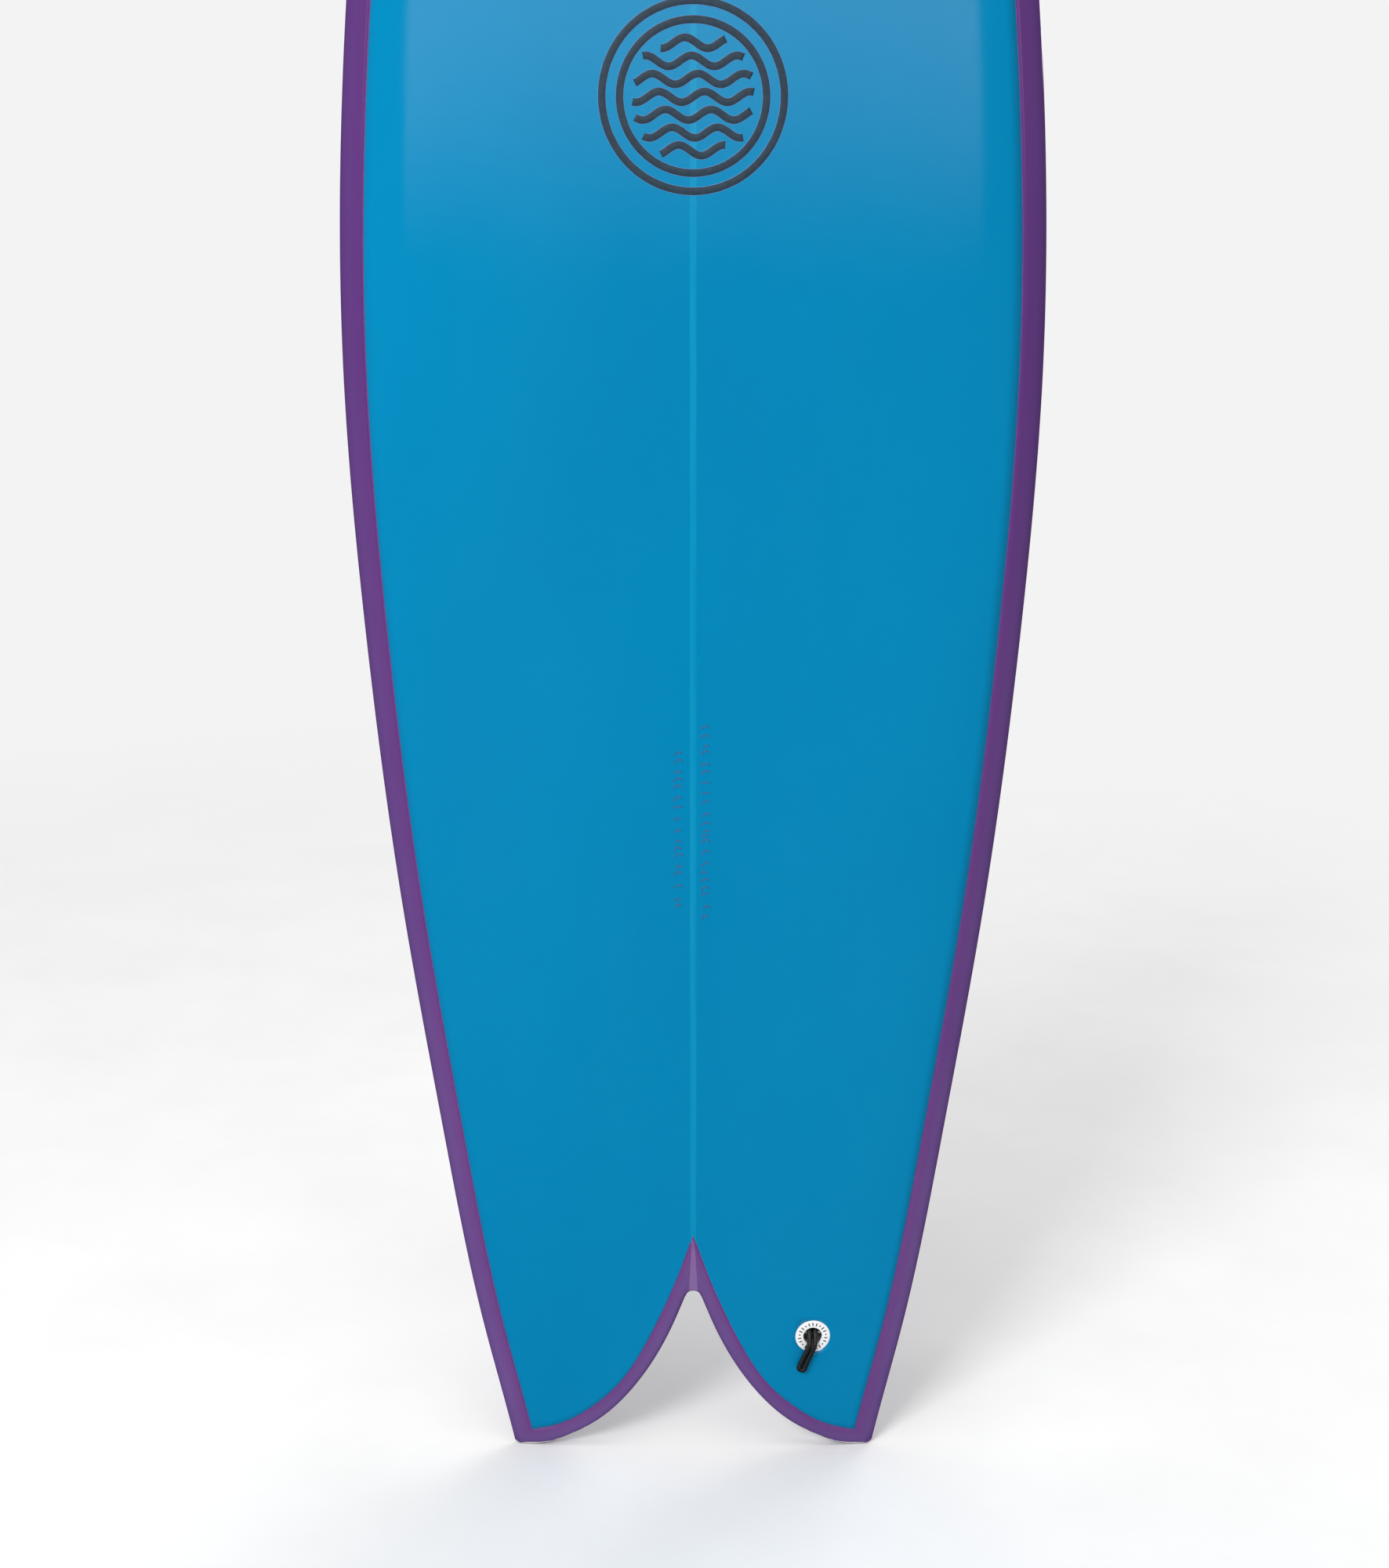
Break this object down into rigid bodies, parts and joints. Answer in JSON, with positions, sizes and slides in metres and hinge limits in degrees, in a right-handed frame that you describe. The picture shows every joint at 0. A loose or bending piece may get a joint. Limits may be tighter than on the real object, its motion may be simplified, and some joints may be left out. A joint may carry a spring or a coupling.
{
  "type": "surfboard",
  "caption": "Swallow-tail fish surfboard with a blue tinted deck, purple cut-lap rails, a leash plug with its string, and keel fins clamped in plugs.",
  "frame": {"origin": "under the middle of the bounding box, level with the tail tips that the board stands on", "axes": "+Z along the board from tail to nose, -Y out of the deck, +Y out of the bottom and the fins, +X to the right seen from the deck"},
  "size_m": [0.5177, 0.2325, 1.6511],
  "materials": {
    "foam": "matte",
    "stringer_wood": "satin",
    "deck_resin": "gloss",
    "rail_resin": "gloss",
    "plug_plastic": "satin",
    "stainless": "satin",
    "cord": "matte",
    "fin_glass": "gloss",
    "fin_plug_plastic": "satin"
  },
  "bodies": {
    "board": {"foam_blank_left": "foam", "foam_blank_right": "foam", "stringer": "stringer_wood", "deck_laminate": "deck_resin", "bottom_laminate": "rail_resin", "leash_plug_cup": "plug_plastic", "leash_plug_pin": "stainless", "leash_string": "cord", "leash_string_knot": "cord", "fin_plug_left_front": "fin_plug_plastic", "fin_plug_left_rear": "fin_plug_plastic", "fin_plug_right_front": "fin_plug_plastic", "fin_plug_right_rear": "fin_plug_plastic"},
    "fin_left": {"fin_left": "fin_glass"},
    "fin_screw_left_front": {"fin_screw_left_front": "stainless"},
    "fin_screw_left_rear": {"fin_screw_left_rear": "stainless"},
    "fin_right": {"fin_right": "fin_glass"},
    "fin_screw_right_front": {"fin_screw_right_front": "stainless"},
    "fin_screw_right_rear": {"fin_screw_right_rear": "stainless"}
  },
  "joints": [
    {"name": "fin_left_draw", "type": "slide", "parent": "board", "child": "fin_left", "axis": [-0.0571, 0.9949, -0.0827], "range_m": [0, 0.02]},
    {"name": "fin_screw_left_front_turn", "type": "hinge", "parent": "board", "child": "fin_screw_left_front", "pos_m": [-0.13703, -0.016, 0.25761], "axis": [0.5979, 0.7978, -0.0775], "range_deg": [0, 450]},
    {"name": "fin_screw_left_rear_turn", "type": "hinge", "parent": "board", "child": "fin_screw_left_rear", "pos_m": [-0.1386, -0.02354, 0.16794], "axis": [0.5979, 0.7978, -0.0775], "range_deg": [0, 450]},
    {"name": "fin_right_draw", "type": "slide", "parent": "board", "child": "fin_right", "axis": [0.0571, 0.9949, -0.0827], "range_m": [0, 0.02]},
    {"name": "fin_screw_right_front_turn", "type": "hinge", "parent": "board", "child": "fin_screw_right_front", "pos_m": [0.13703, -0.016, 0.25761], "axis": [-0.5979, 0.7978, -0.0775], "range_deg": [0, 450]},
    {"name": "fin_screw_right_rear_turn", "type": "hinge", "parent": "board", "child": "fin_screw_right_rear", "pos_m": [0.1386, -0.02354, 0.16794], "axis": [-0.5979, 0.7978, -0.0775], "range_deg": [0, 450]}
  ]
}
